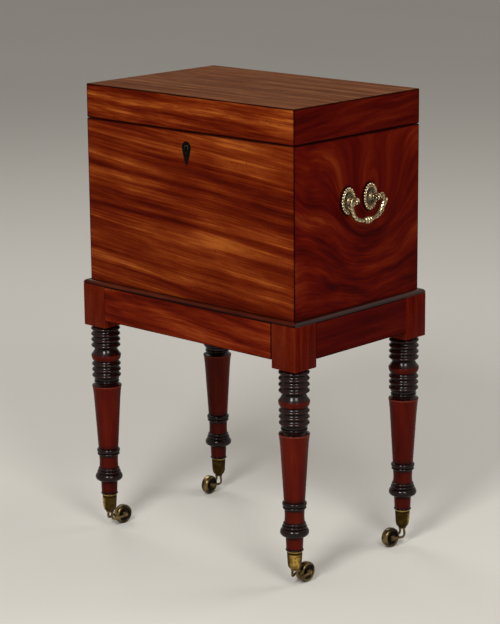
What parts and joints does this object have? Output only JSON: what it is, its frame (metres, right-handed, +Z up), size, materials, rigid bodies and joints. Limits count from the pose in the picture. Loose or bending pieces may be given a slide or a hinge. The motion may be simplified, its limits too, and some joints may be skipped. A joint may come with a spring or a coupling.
{
  "type": "cellarette",
  "caption": "Lidded wooden bottle box with a lock, carrying handles and divided lead-lined inside, lifting off a stand with turned legs and swivelling castors.",
  "frame": {"origin": "on the floor under the middle of the stand", "axes": "+X to the right along the front, +Y to the back, +Z up; the front with the keyhole faces -Y"},
  "size_m": [0.5068, 0.3196, 0.7656],
  "materials": {
    "box_front_mahogany": "french polished, streaky ribbon figure",
    "box_side_mahogany": "french polished, swirling figure",
    "lid_top_mahogany": "french polished, faded, straight grain",
    "turned_mahogany": "glossy polish with blackened grooves",
    "rail_mahogany": "french polished, grain along the rail",
    "moulding_mahogany": "dark, worn polish",
    "interior_wood": "plain, unpolished",
    "lead_sheet": "dull grey sheet metal",
    "ebony": "black, satin",
    "handle_brass": "cast, dull with dark hollows and bright edges",
    "hinge_brass": "dull",
    "lock_brass": "dull",
    "castor_cup_brass": "worn yellow brass with brown patina",
    "castor_horn_brass": "dark patina",
    "castor_wheel_brass": "dark patina, worn tread"
  },
  "bodies": {
    "stand": {"leg_front_left": "turned_mahogany", "leg_back_left": "turned_mahogany", "leg_front_right": "turned_mahogany", "leg_back_right": "turned_mahogany", "rail_front": "rail_mahogany", "rail_right": "rail_mahogany", "rail_back": "rail_mahogany", "rail_left": "rail_mahogany", "moulding_front": "moulding_mahogany", "moulding_right": "moulding_mahogany", "moulding_back": "moulding_mahogany", "moulding_left": "moulding_mahogany", "castor_cup_front_left": "castor_cup_brass", "castor_cup_back_left": "castor_cup_brass", "castor_cup_front_right": "castor_cup_brass", "castor_cup_back_right": "castor_cup_brass"},
    "box": {"box_front": "box_front_mahogany", "box_right": "box_side_mahogany", "box_back": "box_side_mahogany", "box_left": "box_side_mahogany", "box_floor": "interior_wood", "lead_lining": "lead_sheet", "divider_long_1": "interior_wood", "divider_long_2": "interior_wood", "divider_cross_1": "interior_wood", "divider_cross_2": "interior_wood", "divider_cross_3": "interior_wood", "keyhole_escutcheon": "ebony", "lock_case": "lock_brass", "hinge_lower_left": "hinge_brass", "hinge_pin_left": "hinge_brass", "hinge_lower_right": "hinge_brass", "hinge_pin_right": "hinge_brass", "rosette_front_left": "handle_brass", "handle_post_front_left": "handle_brass", "rosette_back_left": "handle_brass", "handle_post_back_left": "handle_brass", "rosette_front_right": "handle_brass", "handle_post_front_right": "handle_brass", "rosette_back_right": "handle_brass", "handle_post_back_right": "handle_brass"},
    "lid": {"lid_front": "box_front_mahogany", "lid_right": "box_side_mahogany", "lid_back": "box_side_mahogany", "lid_left": "box_side_mahogany", "lid_top": "lid_top_mahogany", "lock_link_plate": "lock_brass", "hinge_upper_left": "hinge_brass", "hinge_upper_right": "hinge_brass"},
    "lock_bolt": {"lock_bolt": "lock_brass"},
    "bail_left": {"handle_bail_left": "handle_brass"},
    "bail_right": {"handle_bail_right": "handle_brass"},
    "castor_front_left": {"castor_horn_front_left": "castor_horn_brass"},
    "castor_back_left": {"castor_horn_back_left": "castor_horn_brass"},
    "castor_front_right": {"castor_horn_front_right": "castor_horn_brass"},
    "castor_back_right": {"castor_horn_back_right": "castor_horn_brass"},
    "wheel_front_left": {"castor_wheel_front_left": "castor_wheel_brass"},
    "wheel_back_left": {"castor_wheel_back_left": "castor_wheel_brass"},
    "wheel_front_right": {"castor_wheel_front_right": "castor_wheel_brass"},
    "wheel_back_right": {"castor_wheel_back_right": "castor_wheel_brass"}
  },
  "joints": [
    {"name": "box_lift", "type": "slide", "parent": "stand", "child": "box", "axis": [0, 0, 1], "range_m": [0, 0.03]},
    {"name": "lid_hinge", "type": "hinge", "parent": "box", "child": "lid", "pos_m": [0, 0.1525, 0.7093], "axis": [-1, 0, 0], "range_deg": [0, 100]},
    {"name": "lock_bolt_throw", "type": "slide", "parent": "box", "child": "lock_bolt", "axis": [1, 0, 0], "range_m": [0, 0.007]},
    {"name": "bail_swing_left", "type": "hinge", "parent": "box", "child": "bail_left", "pos_m": [-0.2475, 0, 0.6086], "axis": [0, 1, 0], "range_deg": [-20, 200]},
    {"name": "bail_swing_right", "type": "hinge", "parent": "box", "child": "bail_right", "pos_m": [0.2475, 0, 0.6086], "axis": [0, -1, 0], "range_deg": [-20, 200]},
    {"name": "castor_swivel_front_left", "type": "hinge", "parent": "stand", "child": "castor_front_left", "pos_m": [-0.2133, -0.1348, 0.029], "axis": [0, 0, 1], "continuous": true},
    {"name": "castor_swivel_back_left", "type": "hinge", "parent": "stand", "child": "castor_back_left", "pos_m": [-0.2133, 0.1348, 0.029], "axis": [0, 0, 1], "continuous": true},
    {"name": "castor_swivel_front_right", "type": "hinge", "parent": "stand", "child": "castor_front_right", "pos_m": [0.2133, -0.1348, 0.029], "axis": [0, 0, 1], "continuous": true},
    {"name": "castor_swivel_back_right", "type": "hinge", "parent": "stand", "child": "castor_back_right", "pos_m": [0.2133, 0.1348, 0.029], "axis": [0, 0, 1], "continuous": true},
    {"name": "castor_roll_front_left", "type": "hinge", "parent": "castor_front_left", "child": "wheel_front_left", "pos_m": [-0.21135, -0.10687, 0.01625], "axis": [-0.9976, 0.0698, 0], "continuous": true},
    {"name": "castor_roll_back_left", "type": "hinge", "parent": "castor_back_left", "child": "wheel_back_left", "pos_m": [-0.21037, 0.10695, 0.01625], "axis": [0.9945, 0.1045, 0], "continuous": true},
    {"name": "castor_roll_front_right", "type": "hinge", "parent": "castor_front_right", "child": "wheel_front_right", "pos_m": [0.21232, -0.10682, 0.01625], "axis": [-0.9994, -0.0349, 0], "continuous": true},
    {"name": "castor_roll_back_right", "type": "hinge", "parent": "castor_back_right", "child": "wheel_back_right", "pos_m": [0.21037, 0.10695, 0.01625], "axis": [0.9945, -0.1045, 0], "continuous": true}
  ]
}
